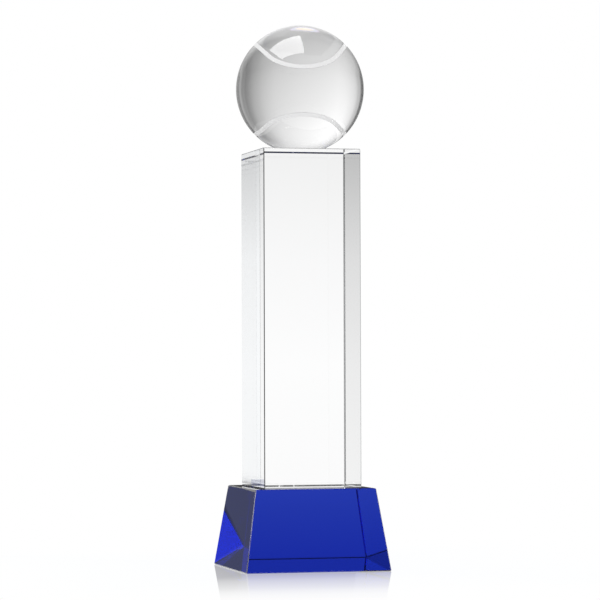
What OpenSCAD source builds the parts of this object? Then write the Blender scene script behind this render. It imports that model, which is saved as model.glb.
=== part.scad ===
// Column trophy: a clear crystal tennis ball on a clear square column, on a blue crystal base.
// The blocks are ground and polished one by one and bonded with thin films of clear adhesive.
// Millimetres, +Z up, origin at the middle of the underside, front face towards -Y.

/* [Base] */
// Width of the base across its underside
base_bottom_w = 68.6; // [60:0.2:90]
// Width of the base across its top
base_top_w = 57.2; // [52:0.2:59]
// Height of the base
base_h = 37.8; // [20:0.2:60]
// Ground-back width of the base's edges, measured along each face
base_chamfer = 0.4; // [0.3:0.1:1.5]

/* [Column] */
// Width of the square column, front and sides alike
column_w = 46.2; // [34:0.2:50]
// Height of the column
column_h = 157; // [80:1:260]
// Ground-back width of the column's edges, measured along each face
column_chamfer = 0.4; // [0.3:0.1:1.5]

/* [Ball] */
// Diameter of the ball
ball_d = 60; // [44:1:80]
// Diameter of the flat ground under the ball, where it is bonded to the column
ball_flat_d = 15.4; // [8:0.2:24]

/* [Tennis seam] */
// Width of the seam line
seam_w = 2; // [1:0.1:4]
// Depth that the seam is blasted into the ball
seam_depth = 0.3; // [0.2:0.05:1]
// How far the middle of each bend leans towards the pattern's axis, in degrees
seam_lean_angle = 31; // [22:0.5:38]
// Turn of the seam pattern to the left of straight ahead, in degrees
seam_turn = 10.6; // [0:0.2:45]
// Tip of the seam pattern's middle below level, in degrees
seam_tip = 6.2; // [0:0.2:20]

/* [Adhesive] */
// Thickness of each film of adhesive
film_t = 0.12; // [0.1:0.01:0.3]
// Distance that the column's film stops short of its ground edges
film_inset = 0.2; // [0.1:0.1:1]

/* [Hidden] */
$fn = 300;

// Heights of the joints between the pieces, each found from the piece below
column_z = base_h + film_t;
column_top_z = column_z + column_h;
ball_flat_z = column_top_z + film_t;

// The ball's centre stands over its flat by the distance from a sphere's centre to that chord
ball_r = ball_d / 2;
ball_flat_r = ball_flat_d / 2;
ball_rise = sqrt(ball_r * ball_r - ball_flat_r * ball_flat_r);
ball_z = ball_flat_z + ball_rise;

// Seam path on the sphere, about the pattern's own axis: four straight stretches run along
// great circles through the axis, and four bends, tangent to them, lean up and down by turns.
// The circle of a bend has this angular radius, seen from the middle of the ball.
seam_bend_angle = asin(cos(seam_lean_angle) * sin(45));
// Half of the turn that a bend makes about its own centre, from one straight to the next
seam_bend_half = atan(1 / sin(seam_lean_angle));
// Half of a straight stretch, from the middle of the pattern to where a bend begins
seam_straight_half = atan(tan(seam_lean_angle) / cos(45));
// Height of the cutter over the sphere's surface, so that it leaves no skin in the groove
cutter_overcut = 1;
// A straight is cut this much wider and deeper on every side than a bend, and this much longer
// at each end, in degrees, so that the ends of the bends lie inside it
seam_lap = 0.02;
seam_lap_angle = 1;

crystal_clear = [0.93, 0.95, 0.96, 0.35];
crystal_blue = [0.05, 0.12, 0.62, 0.85];
frosted_white = [0.95, 0.96, 0.97, 0.9];
adhesive_clear = [0.9, 0.92, 0.93, 0.4];

// Outline of a block's side, with its corners ground back by cut along each face
module ground_outline(bottom_w, top_w, h, cut) {
    slope = (bottom_w - top_w) / 2 / h;
    low = bottom_w / 2 - slope * cut;
    high = top_w / 2 + slope * cut;
    polygon([
        [-bottom_w / 2 + cut, 0], [bottom_w / 2 - cut, 0], [low, cut],
        [high, h - cut], [top_w / 2 - cut, h], [-top_w / 2 + cut, h],
        [-high, h - cut], [-low, cut]
    ]);
}

// A side's outline drawn through the block from front to back
module through_block(bottom_w, top_w, h, cut) {
    rotate([90, 0, 0])
        linear_extrude(height = 2 * bottom_w, center = true)
            ground_outline(bottom_w, top_w, h, cut);
}

// Plain outline across the corners, which grinds back the four standing edges
module through_corners(bottom_w, top_w, h, cut) {
    low = (bottom_w - cut) / sqrt(2);
    high = (top_w - cut) / sqrt(2);
    rotate([90, 0, 45])
        linear_extrude(height = 2 * bottom_w, center = true)
            polygon([[-low, 0], [low, 0], [high, h], [-high, h]]);
}

// Four-sided block, straight or tapered, with all twelve edges ground back
module crystal_block(bottom_w, top_w, h, cut) {
    intersection() {
        through_block(bottom_w, top_w, h, cut);
        rotate([0, 0, 90]) through_block(bottom_w, top_w, h, cut);
        through_corners(bottom_w, top_w, h, cut);
        rotate([0, 0, 90]) through_corners(bottom_w, top_w, h, cut);
    }
}

// Length of cutter along a circle of the sphere about +Z, centred on the direction of +X
module seam_sweep(angle_from_axis, half_angle, grow) {
    rotate([0, 0, -half_angle])
        rotate_extrude(angle = 2 * half_angle)
            rotate(90 - angle_from_axis)
                translate([ball_r - seam_depth - grow, -seam_w / 2 - grow])
                    square([seam_depth + cutter_overcut + 2 * grow, seam_w + 2 * grow]);
}

// One bend, about an axis that leans up out of +X by the lean angle
module seam_bend() {
    rotate([0, 90 - seam_lean_angle, 0])
        mirror([1, 0, 0])
            seam_sweep(seam_bend_angle, seam_bend_half, 0);
}

// One straight stretch, up and down through the direction of +X
module seam_straight() {
    rotate([90, 0, 0]) seam_sweep(90, seam_straight_half + seam_lap_angle, seam_lap);
}

// Half of the closed cutter, about +Z: one bend up, one bend down and two straights
module seam_half() {
    seam_bend();
    rotate([0, 0, 45]) seam_straight();
    rotate([0, 0, 90]) mirror([0, 0, 1]) seam_bend();
    rotate([0, 0, 135]) seam_straight();
}

// Whole cutter, with the pattern's axis brought to the front, then tipped and turned
module seam_cutter() {
    rotate([seam_tip, 0, -seam_turn])
        rotate([90, 90, 0]) {
            seam_half();
            rotate([0, 0, 180]) seam_half();
        }
}

// Ball blank: a sphere with its flat ground underneath
module ball_blank() {
    difference() {
        sphere(r = ball_r);
        translate([-ball_r, -ball_r, -ball_rise - ball_d]) cube(ball_d);
    }
}

// Blue tapered block that the trophy stands on
module base() {
    color(crystal_blue) crystal_block(base_bottom_w, base_top_w, base_h, base_chamfer);
}

// Square film between the base and the column
module column_adhesive() {
    film_w = column_w - 2 * column_chamfer - 2 * film_inset;
    color(adhesive_clear)
        translate([-film_w / 2, -film_w / 2, base_h]) cube([film_w, film_w, film_t]);
}

// Clear square column, which is the face that an award is engraved on
module column() {
    color(crystal_clear)
        translate([0, 0, column_z]) crystal_block(column_w, column_w, column_h, column_chamfer);
}

// Round film between the column and the ball's flat
module ball_adhesive() {
    color(adhesive_clear)
        translate([0, 0, column_top_z]) cylinder(r = ball_flat_r, h = film_t);
}

// Clear ball with the seam groove blasted into it
module ball() {
    color(crystal_clear)
        translate([0, 0, ball_z]) difference() {
            ball_blank();
            seam_cutter();
        }
}

// Frosted white line that fills the groove flush with the ball
module ball_seam() {
    color(frosted_white)
        translate([0, 0, ball_z]) intersection() {
            ball_blank();
            seam_cutter();
        }
}

base();
column_adhesive();
column();
ball_adhesive();
ball();
ball_seam();
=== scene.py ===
"""Looks of the column trophy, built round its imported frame: clear ball, clear column, blue base."""

import math

import bmesh
import bpy
from mathutils import Matrix, Vector


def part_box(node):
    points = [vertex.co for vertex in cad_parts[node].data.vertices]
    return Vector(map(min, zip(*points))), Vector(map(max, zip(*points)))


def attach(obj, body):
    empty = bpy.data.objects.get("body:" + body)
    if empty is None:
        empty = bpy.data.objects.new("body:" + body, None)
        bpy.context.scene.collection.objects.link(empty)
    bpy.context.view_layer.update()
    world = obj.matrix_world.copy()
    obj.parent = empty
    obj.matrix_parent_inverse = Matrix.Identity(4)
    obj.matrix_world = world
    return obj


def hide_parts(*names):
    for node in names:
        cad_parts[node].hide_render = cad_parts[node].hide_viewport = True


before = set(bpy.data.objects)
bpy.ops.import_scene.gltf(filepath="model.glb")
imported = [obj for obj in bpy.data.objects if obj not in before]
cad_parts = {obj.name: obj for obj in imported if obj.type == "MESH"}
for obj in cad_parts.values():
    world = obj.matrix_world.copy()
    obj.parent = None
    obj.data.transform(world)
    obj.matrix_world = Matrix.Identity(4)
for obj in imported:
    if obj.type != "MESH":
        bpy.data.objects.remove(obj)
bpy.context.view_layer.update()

MM = 0.001
WHITE = (1, 1, 1, 1)

# Seam pattern on the ball, as the CAD source has it
SEAM_LEAN = math.radians(31)
SEAM_TURN = math.radians(10.6)
SEAM_TIP = math.radians(6.2)
SEAM_W = 2.0 * MM
SEAM_DEPTH = 0.3 * MM

# Meshes
SEAM_STEPS = 80  # mesh steps along each bend and each straight
PANEL_RINGS = 40  # mesh rings from the seam to the middle of a panel
CROWN_STEPS = 6  # mesh steps across the seam's outer face
CREASE = math.radians(40)  # a sharper turn than this isn't shaded smooth
ARRIS = 0.05 * MM  # polished-off width of a sharp edge
EMBED = 0.01 * MM  # how far the frosting reaches into the crystal, so that no air lies between
SEAM_SINK = 0.04 * MM  # depth of the frosted surface under the ball's
FILM_CLEAR = 0.004 * MM  # from a film's faces to the crystal, so that no two faces coincide
FILM_DRAWN_IN = 0.06 * MM  # how far a film's edge shrank inwards as it cured
TILTED = 0.3  # a part of a unit normal above this counts as a tilt that way
LEVEL = 0.999  # an upright part of a unit normal above this counts as level
BODY, BOND, EDGE = 0, 1, 2  # material slots: the surface, the bonded surface, groove or ground edges
SAME_POINT = 1e-7  # metres between vertices that are one
SAME_CAD_POINT = 1e-6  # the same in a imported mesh

# Materials. A texture's scale is in bumps to the metre.
CRYSTAL_IOR = 1.517
FILM_IOR = 1.49  # the cured adhesive
STREAK = 0.985  # how much of the light the faintly darker streaks let through
STREAK_SCALE = 35
POLISH_WAVE = 0.0004 * MM  # height of the waves that polishing leaves
WAVE_SCALE = 60
# painted shade: a dark grey tint on the column's polished chamfers, so that they show as dark lines
EDGE_PAINTED_SHADE = (0.25, 0.25, 0.25)
BLUE_TINT = (0.90, 0.95, 0.97)
BLUE_BODY = (0.02, 0.245, 0.82, 1)
BLUE_DENSITY = 70
SHEEN_ROUGHNESS = 0.35
SHEEN_IOR = 1.9
GRAIN_SCALE = 2500
GRAIN_DETAIL = 3
GRAIN_HEIGHT = 0.02 * MM
GRAIN_SHADE = (0.95, 0.95, 0.955, 1)
FROST_ROUGHNESS = 0.55  # between the grains
FROST_ROUGHER = 0.3  # how much is added on the grains
FROST_CLEARNESS = 0.2

# Camera, from the middle of the base's underside
CAMERA_AZIMUTH = math.radians(14.05)  # round to the left of the front
CAMERA_HEADING = math.radians(14.04)
CAMERA_DISTANCE = 1365.3 * MM
CAMERA_HEIGHT = 94.3 * MM
CAMERA_PITCH = math.radians(1.297)
CAMERA_ROLL = math.radians(-0.17)
CAMERA_LENS = 174.7
CAMERA_SENSOR = 36  # its width, in mm as the lens

# Floor
FLOOR_HALF = 4.0  # half the sheet's side
FLOOR_DROP = 0.05 * MM  # below the base's underside, so that no two faces coincide
FLOOR_LIGHT = (0.95, 0.95, 0.95, 1)  # to all but the camera, which sees it white
# painted shadow: the sheet's glow where the base stands on it
FLOOR_PAINTED_SHADOW = (0.02, 0.02, 0.02, 1)
COVER_INSET = 1 * MM  # light creeps this far under the base
FLOOR_OPEN = 0.35  # polished faces look through the sheet from this far out
MIRROR_ROUGHNESS = 0.02
MIRROR_TINT = (0.97, 0.985, 1, 1)
MIRROR_STRENGTH = 1.15
MIRROR_REACH = 0.3  # the distance that counts as 1 in the fade
MIRROR_FADE = [(0, 0.56), (0.07, 0.49), (0.14, 0.37), (0.28, 0.21), (0.345, 0.11), (0.414, 0.05),
               (0.55, 0)]

# Room, tent and cards
ROOM_TINT = (0.965, 0.985, 1, 1)
STRIP_SHADE = (0.06, 0.06, 0.06, 1)
TENT_RADIUS = 150 * MM
TENT_FOOT = 207 * MM  # height above the base's underside where the dome starts
TENT_OPENING = 35 * MM  # radius of the opening round the ball's foot
TENT_LIP = 196.2 * MM  # height of the opening's rim
TENT_STEPS = 24  # mesh steps up the dome
TENT_AROUND = 96  # mesh steps round it
TENT_STEEP_SHADE = (0.66, 0.66, 0.66, 1)
TENT_OUTSIDE = (0.1, 0.1, 0.1, 1)
TENT_MIRRORED = 0.5  # how much of the overhead light is in what the ball mirrors
GLINT_RADIUS = 0.20  # on a sphere of radius 1
GLINT = [(0, (4.6, 3.6, 2.2)), (0.45, (4.2, 2.9, 1.9)), (0.68, (1.6, 2.2, 2.9)),
         (0.85, (2.0, 1.3, 2.4)), (1, (0, 0, 0))]
BASE_MIDDLE = Vector((0, 0, 19 * MM))
FLAG_SHADE = (0.18, 0.20, 0.40, 1)
WEDGE_TIP = -6.7 * MM  # how far the wedge's tip is above the flag's middle
WEDGE_SLOPE = 0.9


# ---------------------------------------------------------------- meshes

def link(name, bm_or_mesh, materials):
    """A new object at the origin from a bmesh or mesh, with its materials."""
    if isinstance(bm_or_mesh, bmesh.types.BMesh):
        mesh = bpy.data.meshes.new(name)
        bm_or_mesh.to_mesh(mesh)
        bm_or_mesh.free()
    else:
        mesh = bm_or_mesh
    for material in materials:
        mesh.materials.append(material)
    obj = bpy.data.objects.new(name, mesh)
    bpy.context.scene.collection.objects.link(obj)
    return obj


def stand_for(obj, node):
    """The piece takes a CAD node's place, hiding the node, and rides on the one body."""
    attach(obj, "root")
    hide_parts(node)
    return obj


def seam_path():
    """Closed path of the seam on the unit sphere about its own axis, +Z: (point, side) pairs.
    side is the direction across the path towards the front panel, which holds the pole +Z."""
    bend = math.asin(math.cos(SEAM_LEAN) * math.sqrt(0.5))
    bend_half = math.atan(1 / math.sin(SEAM_LEAN))
    straight_half = math.atan(math.tan(SEAM_LEAN) * math.sqrt(2))
    path = []
    for quarter in range(4):
        up = 1 if quarter % 2 == 0 else -1
        azimuth = quarter * math.pi / 2
        out = Vector((math.cos(azimuth), math.sin(azimuth), 0))
        along = Vector((-math.sin(azimuth), math.cos(azimuth), 0))
        centre = out * math.cos(SEAM_LEAN) + Vector((0, 0, up * math.sin(SEAM_LEAN)))
        rise = Vector((0, 0, up * math.cos(SEAM_LEAN))) - out * math.sin(SEAM_LEAN)
        for k in range(SEAM_STEPS):
            turn = bend_half * (2 * k / SEAM_STEPS - 1)
            spoke = rise * math.cos(turn) + along * math.sin(turn)
            point = centre * math.cos(bend) + spoke * math.sin(bend)
            path.append((point, up * (spoke * math.cos(bend) - centre * math.sin(bend))))
        azimuth += math.pi / 4
        out = Vector((math.cos(azimuth), math.sin(azimuth), 0))
        along = Vector((-math.sin(azimuth), math.cos(azimuth), 0))
        for k in range(SEAM_STEPS):
            height = up * straight_half * (1 - 2 * k / SEAM_STEPS)
            point = out * math.cos(height) + Vector((0, 0, math.sin(height)))
            path.append((point, up * along))
    return path


def panel_spine(point, front):
    """Where a boundary point's mesh line ends: the nearest place on its panel's middle line."""
    reach = math.pi / 2 + SEAM_LEAN
    across = point.y if front else point.x
    deep = point.z if front else -point.z
    angle = max(-reach, min(reach, math.atan2(across, deep)))
    sideways = Vector((0, 1, 0)) if front else Vector((1, 0, 0))
    forward = Vector((0, 0, 1 if front else -1))
    return sideways * math.sin(angle) + forward * math.cos(angle)


def seam_turned(point):
    """From the seam pattern's own axes to the ball's: its axis faces the front, tipped and turned."""
    to_front = Matrix.Rotation(math.pi / 2, 3, "Y") @ Matrix.Rotation(math.pi / 2, 3, "X")
    tipped = Matrix.Rotation(-SEAM_TURN, 3, "Z") @ Matrix.Rotation(SEAM_TIP, 3, "X")
    return tipped @ to_front @ point


def closed_strips(bm, loops, close_across=False):
    """Quads between neighbouring closed loops of vertices. Returns the faces."""
    faces = []
    count = len(loops[0])
    pairs = list(zip(loops, loops[1:]))
    if close_across:
        pairs.append((loops[-1], loops[0]))
    for low, high in pairs:
        for i in range(count):
            j = (i + 1) % count
            faces.append(bm.faces.new((low[i], low[j], high[j], high[i])))
    return faces


def ball_bmesh(radius):
    """Ball with the seam groove, round the origin. Each of its two panels is a grid from the seam to
    the panel's middle line, so that the groove's edges are true curves."""
    bm = bmesh.new()
    path = seam_path()
    half = SEAM_W / 2
    edge_angle = math.asin(half / radius)

    def loop(points):
        return [bm.verts.new(seam_turned(p)) for p in points]

    rims = {}
    for front in (True, False):
        side = 1 if front else -1
        rings = []
        for ring in range(PANEL_RINGS + 1):
            share = ring / PANEL_RINGS
            points = []
            for point, across in path:
                edge = point * math.cos(edge_angle) + across * side * math.sin(edge_angle)
                points.append(edge.slerp(panel_spine(point, front), share) * radius)
            rings.append(loop(points))
        closed_strips(bm, rings)
        rims[front] = rings[0]
    floor_front = loop([p * (radius - SEAM_DEPTH) + n * half for p, n in path])
    floor_back = loop([p * (radius - SEAM_DEPTH) - n * half for p, n in path])
    for face in closed_strips(bm, [rims[True], floor_front, floor_back, rims[False]]):
        face.material_index = EDGE
    bmesh.ops.remove_doubles(bm, verts=bm.verts, dist=SAME_POINT)
    return bm


def grind_flat(bm, height):
    """Cuts everything below the height away and closes it with one flat face."""
    cut = bmesh.ops.bisect_plane(
        bm, geom=bm.verts[:] + bm.edges[:] + bm.faces[:], dist=SAME_POINT,
        plane_co=(0, 0, height), plane_no=(0, 0, 1), clear_inner=True)
    rim = [e for e in cut["geom_cut"] if isinstance(e, bmesh.types.BMEdge)]
    for face in bmesh.ops.contextual_create(bm, geom=rim)["faces"]:
        face.material_index = BOND


def ball_measures():
    """The ball's radius and centre, from the boxes of its two nodes."""
    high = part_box("ball")[1]
    seam_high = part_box("ball_seam")[1]
    radius = round(max(high.x, high.y, seam_high.x, seam_high.y), 4)
    return radius, Vector((0, 0, high.z - radius))


def ball_piece(radius, centre, materials):
    """The ball: polished all over, with its bonded flat underneath and its groove."""
    bm = ball_bmesh(radius)
    grind_flat(bm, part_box("ball")[0].z - centre.z)
    bmesh.ops.recalc_face_normals(bm, faces=bm.faces)
    bmesh.ops.translate(bm, vec=centre, verts=bm.verts)
    obj = link("crystal_ball", bm, materials)
    mesh = obj.data
    normals = []
    for polygon in mesh.polygons:
        polygon.use_smooth = polygon.material_index == BODY
        for i in polygon.vertices:
            on_sphere = (mesh.vertices[i].co - centre).normalized()
            normals.append(on_sphere if polygon.material_index == BODY else polygon.normal)
    mesh.normals_split_custom_set(normals)
    return stand_for(obj, "ball")


def seam_piece(radius, centre, materials):
    """The frosted line: a closed band that fills the groove, a hair under the ball's surface."""
    bm = bmesh.new()
    half = SEAM_W / 2 + EMBED
    loops = []
    for step in range(CROWN_STEPS + 1):
        offset = half * (1 - 2 * step / CROWN_STEPS)
        height = math.sqrt((radius - SEAM_SINK) ** 2 - offset ** 2)
        loops.append([(p * height + n * offset) for p, n in seam_path()])
    deep = radius - SEAM_DEPTH - EMBED
    loops.append([p * deep - n * half for p, n in seam_path()])
    loops.append([p * deep + n * half for p, n in seam_path()])
    rows = [[bm.verts.new(seam_turned(p) + centre) for p in loop] for loop in loops]
    closed_strips(bm, rows, close_across=True)
    bmesh.ops.recalc_face_normals(bm, faces=bm.faces)
    obj = link("ball_seam_frosting", bm, materials)
    for polygon in obj.data.polygons:
        polygon.use_smooth = True
    obj.data.set_sharp_from_angle(angle=CREASE)
    return stand_for(obj, "ball_seam")


def block_bmesh(node, all_edges):
    """A CAD block's own planar faces, each as one polygon, with the sharp edges polished off. The
    upright ground edges, or all of them, get the third material."""
    bm = bmesh.new()
    bm.from_mesh(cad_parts[node].data)
    bmesh.ops.remove_doubles(bm, verts=bm.verts, dist=SAME_CAD_POINT)
    bmesh.ops.dissolve_limit(
        bm, angle_limit=math.radians(1), verts=bm.verts[:], edges=bm.edges[:])
    bmesh.ops.bevel(bm, geom=bm.edges[:], offset=ARRIS, segments=2, profile=0.5, affect="EDGES")
    bmesh.ops.recalc_face_normals(bm, faces=bm.faces)
    for face in bm.faces:
        leans = sorted(abs(part) for part in face.normal)
        upright = abs(face.normal.z) < TILTED and leans[0] < TILTED and leans[1] > TILTED
        if upright or (all_edges and leans[1] > TILTED):
            face.material_index = EDGE
    return bm


def level_face(bm, up):
    """The block's top or bottom face."""
    return max((f for f in bm.faces if up * f.normal.z > LEVEL), key=lambda f: f.calc_area())


def mark_bond(bm, up, outline):
    """Cuts an outline into the top or bottom face and gives what lies in it the bonded surface."""
    face = level_face(bm, up)
    height = face.calc_center_median().z
    rim = face.edges[:]
    bmesh.ops.delete(bm, geom=[face], context="FACES_ONLY")
    ring = [bm.verts.new((x, y, height)) for x, y in outline]
    inner = [bm.edges.new((a, b)) for a, b in zip(ring, ring[1:] + ring[:1])]
    bond = bm.faces.new(ring)
    bond.material_index = BOND
    bmesh.ops.triangle_fill(bm, use_beauty=True, edges=rim + inner)
    bmesh.ops.recalc_face_normals(bm, faces=bm.faces)


def square_outline(node):
    """The corners of a node's box, seen from above."""
    low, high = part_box(node)
    return [(low.x, low.y), (high.x, low.y), (high.x, high.y), (low.x, high.y)]


def round_outline(node, steps=96):
    """A circle as wide as a node's box, seen from above."""
    radius = round(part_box(node)[1].x, 5)
    turns = [2 * math.pi * k / steps for k in range(steps)]
    return [(radius * math.cos(t), radius * math.sin(t)) for t in turns]


def block_piece(name, node, materials, bonds, all_edges=False):
    """A crystal block. bonds are its bonded areas: 1 for its top or -1 for its bottom, and the
    outline."""
    bm = block_bmesh(node, all_edges)
    for up, outline in bonds:
        mark_bond(bm, up, outline)
    return stand_for(link(name, bm, materials), node)


def film_piece(name, node, outline, materials):
    """A film of adhesive between two blocks, its edge drawn in a little as it cured."""
    low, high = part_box(node)
    middle = (low.z + high.z) / 2
    levels = [(low.z + FILM_CLEAR, 0), (middle, FILM_DRAWN_IN), (high.z - FILM_CLEAR, 0)]
    bm = bmesh.new()
    rows = []
    for z, inward in levels:
        points = [Vector((x, y, 0)) for x, y in outline]
        rows.append([bm.verts.new(p - p.normalized() * inward + Vector((0, 0, z))) for p in points])
    closed_strips(bm, rows)
    for row in (rows[0][::-1], rows[-1]):
        bm.faces.new(row).material_index = BOND
    bmesh.ops.recalc_face_normals(bm, faces=bm.faces)
    return stand_for(link(name, bm, materials), node)


# ---------------------------------------------------------------- node helpers

def new_material(name):
    """A new material and its node tree."""
    material = bpy.data.materials.new(name)
    material.use_nodes = True
    return material, material.node_tree


def set_inputs(node, values):
    """Sets a node's sockets to constants."""
    for name, value in values.items():
        node.inputs[name].default_value = value


def feed(tree, socket, value):
    """Gives a socket a link or a constant."""
    if isinstance(value, bpy.types.NodeSocket):
        tree.links.new(value, socket)
    else:
        socket.default_value = value


def calc(tree, operation, *values):
    """A Math node whose inputs are links or numbers. Returns its output."""
    node = tree.nodes.new("ShaderNodeMath")
    node.operation = operation
    for socket, value in zip(node.inputs, values):
        feed(tree, socket, value)
    return node.outputs["Value"]


def product(tree, first, *others):
    """Links and numbers multiplied together."""
    for other in others:
        first = calc(tree, "MULTIPLY", first, other)
    return first


def colour_mix(tree, factor, first, second, mode="MIX"):
    """A colour Mix node whose inputs are links or values. Returns its output."""
    node = tree.nodes.new("ShaderNodeMix")
    node.data_type = "RGBA"
    node.blend_type = mode
    for name, value in (("Factor", factor), ("A", first), ("B", second)):
        feed(tree, [s for s in node.inputs if s.name == name and s.enabled][0], value)
    return [s for s in node.outputs if s.enabled][0]


def shader_mix(tree, share, first, second):
    """The first shader where share is 0, the second where it is 1."""
    node = tree.nodes.new("ShaderNodeMixShader")
    for socket, value in zip(node.inputs, (share, first, second)):
        tree.links.new(value, socket)
    return node.outputs[0]


def own_place(tree):
    """The shaded point in the object's own space."""
    return tree.nodes.new("ShaderNodeTexCoord").outputs["Object"]


def parts(tree, vector):
    """A vector's x, y and z."""
    node = tree.nodes.new("ShaderNodeSeparateXYZ")
    tree.links.new(vector, node.inputs["Vector"])
    return [node.outputs[axis] for axis in "XYZ"]


def light_path(tree, question):
    """1 where the ray is of the named kind, else 0."""
    return tree.nodes.new("ShaderNodeLightPath").outputs[question]


def colour_ramp(tree, value, stops, smooth):
    """Colour over a value that runs from 0 to 1: stops are (value, (red, green, blue))."""
    node = tree.nodes.new("ShaderNodeValToRGB")
    ramp = node.color_ramp
    ramp.interpolation = "EASE" if smooth else "LINEAR"
    while len(ramp.elements) < len(stops):
        ramp.elements.new(0.5)
    for element, (place, colour) in zip(ramp.elements, sorted(stops)):
        element.position = place
        element.color = (*colour, 1)
    tree.links.new(value, node.inputs["Fac"])
    return node.outputs["Color"]


def grey_ramp(tree, value, stops, smooth=True):
    """Brightness over a value that runs from 0 to 1: stops are (value, brightness)."""
    return colour_ramp(tree, value, [(place, (grey,) * 3) for place, grey in stops], smooth)


# ---------------------------------------------------------------- materials

def noise(tree, scale, detail=2):
    """Procedural noise from 0 to 1 in the object's own space."""
    node = tree.nodes.new("ShaderNodeTexNoise")
    set_inputs(node, {"Scale": scale, "Detail": detail})
    tree.links.new(own_place(tree), node.inputs["Vector"])
    return node.outputs["Fac"]


def bump(tree, height, distance):
    """Raises the surface's shading by up to distance metres where height is 1."""
    node = tree.nodes.new("ShaderNodeBump")
    set_inputs(node, {"Strength": 1, "Distance": distance})
    tree.links.new(height, node.inputs["Height"])
    tree.links.new(node.outputs["Normal"], tree.nodes["Principled BSDF"].inputs["Normal"])


def crystal(name, ior, tint=(1, 1, 1), waviness=POLISH_WAVE):
    """Polished optical crystal: perfectly smooth, with the faint waviness that polishing leaves and
    faint streaks in its tint."""
    material, tree = new_material(name)
    shader = tree.nodes["Principled BSDF"]
    set_inputs(shader, {"Roughness": 0, "IOR": ior, "Transmission Weight": 1})
    streak = [channel * STREAK for channel in tint]
    colour = colour_mix(tree, noise(tree, STREAK_SCALE), (*streak, 1), (*tint, 1))
    tree.links.new(colour, shader.inputs["Base Color"])
    if waviness:
        bump(tree, noise(tree, WAVE_SCALE), waviness)
    return material


def blue_crystal(name, ior, sheen=0):
    """Crystal coloured through its body: the colour deepens with the way that light goes in it.
    sheen is how much of a ground edge's soft gloss there is."""
    material = crystal(name, ior, BLUE_TINT)
    tree = material.node_tree
    set_inputs(tree.nodes["Principled BSDF"],
               {"Coat Weight": sheen, "Coat Roughness": SHEEN_ROUGHNESS, "Coat IOR": SHEEN_IOR})
    volume = tree.nodes.new("ShaderNodeVolumeAbsorption")
    set_inputs(volume, {"Color": BLUE_BODY, "Density": BLUE_DENSITY})
    tree.links.new(volume.outputs["Volume"], tree.nodes["Material Output"].inputs["Volume"])
    return material


def frosting():
    """Sandblasted crystal: white, rough and finely grained."""
    material, tree = new_material("sandblasted_frosting")
    shader = tree.nodes["Principled BSDF"]
    grains = noise(tree, GRAIN_SCALE, GRAIN_DETAIL)
    tree.links.new(colour_mix(tree, grains, GRAIN_SHADE, WHITE), shader.inputs["Base Color"])
    rough = calc(tree, "ADD", product(tree, grains, FROST_ROUGHER), FROST_ROUGHNESS)
    tree.links.new(rough, shader.inputs["Roughness"])
    bump(tree, grains, GRAIN_HEIGHT)
    set_inputs(shader, {"IOR": CRYSTAL_IOR, "Transmission Weight": FROST_CLEARNESS})
    return material


# ---------------------------------------------------------------- floor and room

def soft_reflection(tree):
    """1 for soft reflections, such as the floor's, and 0 for what a polished face shows."""
    blurred = calc(tree, "SUBTRACT", 1, light_path(tree, "Is Singular Ray"))
    return product(tree, light_path(tree, "Is Glossy Ray"), blurred)


def heading_and_elevation(tree, direction):
    """Both run from 0 to 1: 0.5 is the way the camera looks, and the horizon."""
    x, y, z = parts(tree, direction)
    turn = calc(tree, "SUBTRACT", calc(tree, "ARCTAN2", x, y), CAMERA_HEADING)
    turn = calc(tree, "DIVIDE", turn, 2 * math.pi)
    heading = calc(tree, "FRACT", calc(tree, "ADD", turn, 0.5))
    rise = calc(tree, "DIVIDE", calc(tree, "ARCSINE", z), math.pi)
    return heading, calc(tree, "ADD", rise, 0.5)


def headings(*stops):
    """Stops given in degrees round from the camera's heading."""
    return [(0.5 + degrees / 360, grey) for degrees, grey in stops]


def elevations(*stops):
    """Stops given in degrees above the horizon."""
    return [(0.5 + degrees / 180, grey) for degrees, grey in stops]


def floor_glow(tree, lit):
    """The sheet's own light, with a painted shadow of hardly any light where the base covers it."""
    colour = colour_mix(tree, light_path(tree, "Is Camera Ray"), FLOOR_LIGHT, WHITE)
    node = tree.nodes.new("ShaderNodeEmission")
    tree.links.new(colour_mix(tree, lit, FLOOR_PAINTED_SHADOW, colour), node.inputs["Color"])
    return node.outputs[0]


def floor_mirror(tree):
    """The sheet's gloss."""
    node = tree.nodes.new("ShaderNodeBsdfGlossy")
    node.distribution = "MULTI_GGX"
    set_inputs(node, {"Roughness": MIRROR_ROUGHNESS, "Color": MIRROR_TINT})
    return node.outputs[0]


def mirror_share(tree, away, lit):
    """How much of the sheet is gloss: it fades outwards, and it is most at a grazing look."""
    fade = grey_ramp(tree, calc(tree, "DIVIDE", away, MIRROR_REACH), MIRROR_FADE, smooth=False)
    facing = tree.nodes.new("ShaderNodeLayerWeight").outputs["Facing"]
    grazing = product(tree, calc(tree, "POWER", facing, 2), MIRROR_STRENGTH)
    return product(tree, product(tree, fade, lit), grazing)


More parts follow.
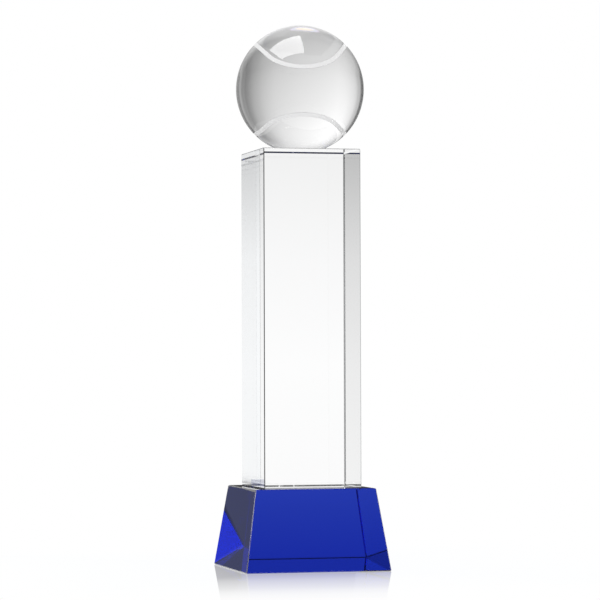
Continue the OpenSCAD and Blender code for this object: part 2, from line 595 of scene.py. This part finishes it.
def studio_floor():
    """A white sheet lit as brightly as the backdrop, with a painted shadow only where the base
    covers it, and a mirror image that fades with the distance from the object's foot. Far out,
    polished faces look through it at the room."""
    bm = bmesh.new()
    bmesh.ops.create_grid(bm, x_segments=1, y_segments=1, size=FLOOR_HALF)
    bmesh.ops.translate(bm, vec=(0, 0, -FLOOR_DROP), verts=bm.verts)
    material, tree = new_material("white_floor")
    tree.nodes.remove(tree.nodes["Principled BSDF"])
    x, y, _ = parts(tree, own_place(tree))
    out = calc(tree, "MAXIMUM", calc(tree, "ABSOLUTE", x), calc(tree, "ABSOLUTE", y))
    away = calc(tree, "SUBTRACT", out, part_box("base")[1].x)
    lit = calc(tree, "GREATER_THAN", away, -COVER_INSET)
    near = shader_mix(tree, mirror_share(tree, away, lit), floor_glow(tree, lit), floor_mirror(tree))
    far = product(tree, calc(tree, "GREATER_THAN", away, FLOOR_OPEN),
                  light_path(tree, "Is Singular Ray"))
    see_through = tree.nodes.new("ShaderNodeBsdfTransparent").outputs[0]
    tree.links.new(shader_mix(tree, far, near, see_through),
                   tree.nodes["Material Output"].inputs["Surface"])
    link("studio_floor", bm, [material])


def room_round(tree, heading, elevation):
    """Brightness round the room: bright, with three dark slots that end just below the horizon."""
    wall = grey_ramp(tree, heading, headings(
        (-180, 1), (-126, 0.95), (-122, 0.06), (-112, 0.06), (-108, 0.95), (-50, 0.95), (-44, 0.06),
        (-31.4, 0.06), (-30, 0.88), (-12, 1), (19, 1), (21, 0.06), (30, 0.06), (34, 0.95),
        (150, 1.03), (180, 1)), smooth=False)
    above = grey_ramp(tree, elevation, elevations((-10, 0), (-6, 1)), smooth=False)
    return colour_mix(tree, above, WHITE, wall)


def room_up(tree, heading, elevation):
    """Brightness up the room's walls: behind the object, behind it to the left, and before it."""
    behind = grey_ramp(tree, elevation, elevations(
        (-15, 0.95), (-2, 0.975), (0, 0.985), (4.2, 0.90), (10, 0.8), (30, 0.85), (90, 0.8)),
        smooth=False)
    left = grey_ramp(tree, elevation, elevations(
        (-15, 1.0), (-2, 1.0), (0, 0.93), (2, 0.81), (4.2, 0.57), (8, 0.7), (30, 0.7), (90, 0.5)),
        smooth=False)
    before = grey_ramp(tree, elevation, elevations(
        (-2, 0.96), (0, 1.02), (2.2, 1.02), (4.2, 0.72), (8, 0.3), (12, 0.05), (16, 0.2), (30, 0.1),
        (90, 0.1)), smooth=False)
    before = colour_mix(tree, 1.0, before, ROOM_TINT, "MULTIPLY")
    is_left = grey_ramp(tree, heading, headings((-60, 0), (-50, 1), (-22, 1), (-12, 0)))
    is_behind = grey_ramp(tree, heading, headings((-70, 0), (-60, 1), (60, 1), (110, 0)))
    return colour_mix(tree, is_left, colour_mix(tree, is_behind, before, behind), left)


def room_strip(tree, heading, elevation):
    """1 in the dark strip low behind the object, which refracted rays don't see, else 0."""
    mirrored = calc(tree, "SUBTRACT", 1, light_path(tree, "Is Transmission Ray"))
    across = grey_ramp(tree, heading, headings((-14, 0), (-8, 1), (10, 1), (16, 0)))
    up = grey_ramp(tree, elevation, elevations((-0.5, 0), (0.5, 1), (6, 1), (9, 0)))
    return product(tree, mirrored, product(tree, across, up))


def studio_world():
    """White where the camera or a soft reflection looks past the object. The crystal sees a room:
    bright walls with dark slots, darker higher up before the object."""
    world = bpy.data.worlds.new("studio")
    bpy.context.scene.world = world
    world.use_nodes = True
    tree = world.node_tree
    look = tree.nodes.new("ShaderNodeTexCoord").outputs["Generated"]
    where = heading_and_elevation(tree, look)
    room = colour_mix(tree, 1.0, room_round(tree, *where), room_up(tree, *where), "MULTIPLY")
    room = colour_mix(tree, room_strip(tree, *where), room, STRIP_SHADE)
    plain = calc(tree, "MAXIMUM", light_path(tree, "Is Camera Ray"), soft_reflection(tree))
    tree.links.new(colour_mix(tree, plain, room, WHITE), tree.nodes["Background"].inputs["Color"])


# ---------------------------------------------------------------- tent and cards

def toward(heading, elevation, distance, start):
    """The point so far from start, so many degrees round from the camera's heading and so many up."""
    turn = CAMERA_HEADING + math.radians(heading)
    rise = math.radians(elevation)
    step = Vector((math.sin(turn) * math.cos(rise), math.cos(turn) * math.cos(rise), math.sin(rise)))
    return Vector(start) + step * distance


def hide_from_camera(obj):
    """Hides an object from the camera's own rays."""
    obj.visible_camera = False
    return obj


def glow(name, strength):
    """A glowing surface that soft reflections pass through, and its Emission node."""
    material, tree = new_material(name)
    tree.nodes.remove(tree.nodes["Principled BSDF"])
    emission = tree.nodes.new("ShaderNodeEmission")
    emission.inputs["Strength"].default_value = strength
    see_through = tree.nodes.new("ShaderNodeBsdfTransparent").outputs[0]
    tree.links.new(shader_mix(tree, soft_reflection(tree), emission.outputs[0], see_through),
                   tree.nodes["Material Output"].inputs["Surface"])
    return material, emission


def tent_bmesh(centre):
    """A dome with its faces turned inwards, measured from the ball's centre. Below it a funnel runs
    in and down to the opening."""
    start = math.asin((TENT_FOOT - centre.z) / TENT_RADIUS)
    profile = [(TENT_OPENING, TENT_LIP - centre.z),
               (TENT_RADIUS * 0.6, (TENT_LIP + TENT_FOOT) / 2 - centre.z)]
    for step in range(TENT_STEPS):
        angle = start + (math.pi / 2 - start) * step / TENT_STEPS
        profile.append((TENT_RADIUS * math.cos(angle), TENT_RADIUS * math.sin(angle)))
    turns = [2 * math.pi * k / TENT_AROUND for k in range(TENT_AROUND)]
    bm = bmesh.new()
    rows = []
    for radius, height in profile:
        rows.append([bm.verts.new((radius * math.cos(t), radius * math.sin(t), height)) for t in turns])
    closed_strips(bm, rows)
    bm.faces.new(rows[-1])
    bmesh.ops.recalc_face_normals(bm, faces=bm.faces)
    bmesh.ops.reverse_faces(bm, faces=bm.faces)
    return bm


def tent_walls(tree, heading, elevation):
    """Pale on the left, falling to grey on the right, with a dark slot to each side."""
    round_wall = grey_ramp(tree, heading, headings(
        (-180, 0.6), (-130, 0.7), (-100, 0.5), (-92, 0.05), (-61, 0.03), (-57.5, 0.12), (-55.5, 0.30),
        (-52, 0.52), (-46, 0.585), (-41.5, 0.735), (-37.5, 0.785), (-28, 0.87), (-20, 0.885),
        (0, 0.75), (11, 0.65), (19, 0.52), (23, 0.44), (28, 0.375), (33, 0.28), (38.4, 0.215),
        (41, 0.26), (44.8, 0.25), (47.4, 0.29), (50.4, 0.39), (54, 0.35), (57, 0.09), (63, 0.06),
        (92, 0.05), (100, 0.45), (135, 0.7), (180, 0.6)), smooth=False)
    steep = grey_ramp(tree, elevation, elevations(
        (-60, 0.7), (-40, 0.7), (-28, 0), (40, 0), (55, 0.7), (90, 0.7)))
    round_wall = colour_mix(tree, steep, round_wall, TENT_STEEP_SHADE)
    up_wall = grey_ramp(tree, elevation, elevations(
        (-60, 0.9), (-30, 0.69), (-12, 0.85), (0, 1), (30, 1.29), (55, 1.37), (90, 1.2)),
        smooth=False)
    front_wall = grey_ramp(tree, elevation, elevations((-10, 1), (25, 0.8), (38, 0.08)),
                           smooth=False)
    is_front = grey_ramp(tree, heading, headings(
        (-180, 1), (-120, 1), (-90, 0), (45, 0), (65, 1), (180, 1)))
    up_wall = colour_mix(tree, is_front, up_wall, front_wall)
    return colour_mix(tree, 1.0, round_wall, up_wall, "MULTIPLY")


def prism_glint(tree, direction):
    """A patch of light with a rainbow edge."""
    apart = tree.nodes.new("ShaderNodeVectorMath")
    apart.operation = "DISTANCE"
    tree.links.new(direction, apart.inputs[0])
    apart.inputs[1].default_value = toward(6, 54, 1, (0, 0, 0))
    return colour_ramp(tree, calc(tree, "DIVIDE", apart.outputs["Value"], GLINT_RADIUS), GLINT,
                       smooth=False)


def tent_overhead(tree, heading, elevation, direction):
    """The soft light and the glint that the top of the ball mirrors."""
    across = grey_ramp(tree, heading, headings((-65, 0), (-35, 1), (8, 1), (35, 0)))
    up = grey_ramp(tree, elevation, elevations((18, 0), (34, 1.7), (60, 1.9), (80, 0.5)))
    lit = colour_mix(tree, 1.0, across, up, "MULTIPLY")
    return colour_mix(tree, 1.0, lit, prism_glint(tree, direction), "ADD")


def ball_tent(centre):
    """A tent over the ball, down to just above the column's top. Inside, refracted rays see its
    walls. Mirrored rays see them mixed with a light overhead, and scattered rays see plain white."""
    material, emission = glow("tent", 1)
    tree = material.node_tree
    direction = tree.nodes.new("ShaderNodeVectorMath")
    direction.operation = "NORMALIZE"
    tree.links.new(own_place(tree), direction.inputs[0])
    direction = direction.outputs["Vector"]
    where = heading_and_elevation(tree, direction)
    walls = tent_walls(tree, *where)
    mirrored = colour_mix(tree, TENT_MIRRORED, walls, tent_overhead(tree, *where, direction))
    inside = colour_mix(tree, light_path(tree, "Is Transmission Ray"), mirrored, walls)
    inside = colour_mix(tree, light_path(tree, "Is Diffuse Ray"), inside, WHITE)
    outward = tree.nodes.new("ShaderNodeNewGeometry").outputs["Backfacing"]
    tree.links.new(colour_mix(tree, outward, inside, TENT_OUTSIDE), emission.inputs["Color"])
    obj = link("tent_round_ball", tent_bmesh(centre), [material])
    obj.location = centre
    hide_from_camera(obj)


def card(name, centre, size, facing, strength, spin=0):
    """A flat glowing card that faces a point. size is its width and height."""
    bm = bmesh.new()
    bmesh.ops.create_grid(bm, x_segments=1, y_segments=1, size=0.5)
    bmesh.ops.scale(bm, vec=(*size, 1), verts=bm.verts)
    obj = link(name, bm, [glow(name, strength)[0]])
    look = (Vector(facing) - Vector(centre)).normalized()
    turned = look.to_track_quat("Z", "Y").to_matrix().to_4x4()
    obj.matrix_world = Matrix.Translation(centre) @ turned @ Matrix.Rotation(spin, 4, "Z")
    return hide_from_camera(obj)


def softbox_over_ball(centre):
    """The window-shaped highlight on top of the ball, for mirrored rays only."""
    place = toward(-139, 0, 50 * MM, centre) + Vector((0, 0, 100 * MM))
    softbox = card("softbox_over_ball", place, (80 * MM, 75 * MM), place - Vector((0, 0, 1)), 6.3,
                   math.radians(4))
    softbox.visible_transmission = False
    softbox.visible_diffuse = False


def flag_behind_base():
    """A dim flag that refracted rays don't see. Its mirror image darkens the base's left face, most
    of all in a wedge."""
    centre = Vector((-47.5 * MM, 60 * MM, 19.5 * MM))
    width, height = 22 * MM, 39 * MM
    flag = card("flag_behind_base", centre, (width, height), centre - Vector((-0.249, 0.969, 0)), 1)
    flag.visible_transmission = False
    tree = flag.data.materials[0].node_tree
    across, up, _ = parts(tree, own_place(tree))
    off_tip = calc(tree, "ABSOLUTE", calc(tree, "ADD", up, -WEDGE_TIP))
    wedge = calc(tree, "SUBTRACT", across, product(tree, off_tip, WEDGE_SLOPE))
    wedge = calc(tree, "ADD", calc(tree, "DIVIDE", wedge, width), 0.5)
    fade = grey_ramp(tree, wedge, [(0.28, 1), (0.38, 0.35)], smooth=False)
    tree.links.new(colour_mix(tree, 1.0, FLAG_SHADE, fade, "MULTIPLY"),
                   tree.nodes["Emission"].inputs["Color"])


def studio_cards(ball_centre):
    """The cards that light the ball and show in the base's faces and edges."""
    softbox_over_ball(ball_centre)
    for name, heading, elevation, distance, size, strength in (
            ("softbox_front", 142, 20, 0.9, (0.22, 0.16), 2.7),
            ("softbox_high_right", 120, 61, 1.5, (0.75, 0.75), 2.5),
            ("softbox_high_left", -120, 25, 1.5, (0.6, 0.45), 3.0)):
        card(name, toward(heading, elevation, distance, BASE_MIDDLE), size, BASE_MIDDLE, strength)
    flag_behind_base()


# ---------------------------------------------------------------- camera

def studio_camera():
    """The camera, placed as for the photograph."""
    data = bpy.data.cameras.new("camera")
    data.lens = CAMERA_LENS
    data.sensor_width = CAMERA_SENSOR
    data.clip_start = 0.01
    data.clip_end = 20
    camera = bpy.data.objects.new("camera", data)
    bpy.context.scene.collection.objects.link(camera)
    forward = Vector((math.sin(CAMERA_HEADING) * math.cos(CAMERA_PITCH),
                      math.cos(CAMERA_HEADING) * math.cos(CAMERA_PITCH), math.sin(CAMERA_PITCH)))
    right = Vector((math.cos(CAMERA_HEADING), -math.sin(CAMERA_HEADING), 0))
    up = right.cross(forward)
    right, up = (right * math.cos(CAMERA_ROLL) + up * math.sin(CAMERA_ROLL),
                 up * math.cos(CAMERA_ROLL) - right * math.sin(CAMERA_ROLL))
    place = Matrix((right, up, -forward)).transposed().to_4x4()
    place.translation = (-CAMERA_DISTANCE * math.sin(CAMERA_AZIMUTH),
                         -CAMERA_DISTANCE * math.cos(CAMERA_AZIMUTH), CAMERA_HEIGHT)
    camera.matrix_world = place
    bpy.context.scene.camera = camera


# ---------------------------------------------------------------- the trophy

def build_trophy(ball_radius, ball_centre):
    """All six pieces, each in place of its CAD node. Where a film meets a crystal, the crystal's face
    bends light by the ratio of the two indices, and the film's face doesn't bend it."""
    clear = crystal("clear_crystal", CRYSTAL_IOR)
    # The column's chamfers get a painted shade: a dark grey tint on polished crystal.
    clear_painted_shade_edge = crystal("clear_crystal_edge_painted_shade", CRYSTAL_IOR, EDGE_PAINTED_SHADE)
    clear_bond = crystal("clear_crystal_bonded", CRYSTAL_IOR / FILM_IOR)
    blue = blue_crystal("blue_crystal", CRYSTAL_IOR)
    blue_bond = blue_crystal("blue_crystal_bonded", CRYSTAL_IOR / FILM_IOR)
    blue_edge = blue_crystal("blue_crystal_ground_edge", CRYSTAL_IOR, 1)
    film = crystal("cured_adhesive", FILM_IOR)
    film_bond = crystal("cured_adhesive_bonded", 1.0, waviness=0)
    frosted = frosting()
    under_column = square_outline("column_adhesive")
    under_ball = round_outline("ball_adhesive")
    ball_piece(ball_radius, ball_centre, [clear, clear_bond, clear])
    seam_piece(ball_radius, ball_centre, [frosted])
    block_piece("crystal_column", "column", [clear, clear_bond, clear_painted_shade_edge],
                [(1, under_ball), (-1, under_column)], all_edges=True)
    block_piece("blue_base", "base", [blue, blue_bond, blue_edge],
                [(1, under_column)])
    film_piece("column_bond", "column_adhesive", under_column, [film, film_bond])
    film_piece("ball_bond", "ball_adhesive", under_ball, [film, film_bond])


ball_radius, ball_centre = ball_measures()
build_trophy(ball_radius, ball_centre)
studio_floor()
studio_world()
ball_tent(ball_centre)
studio_cards(ball_centre)
studio_camera()

scene = bpy.context.scene
scene.view_settings.view_transform = "Standard"
scene.cycles.max_bounces = 32
scene.cycles.transmission_bounces = 32
scene.cycles.glossy_bounces = 16
scene.cycles.transparent_max_bounces = 16
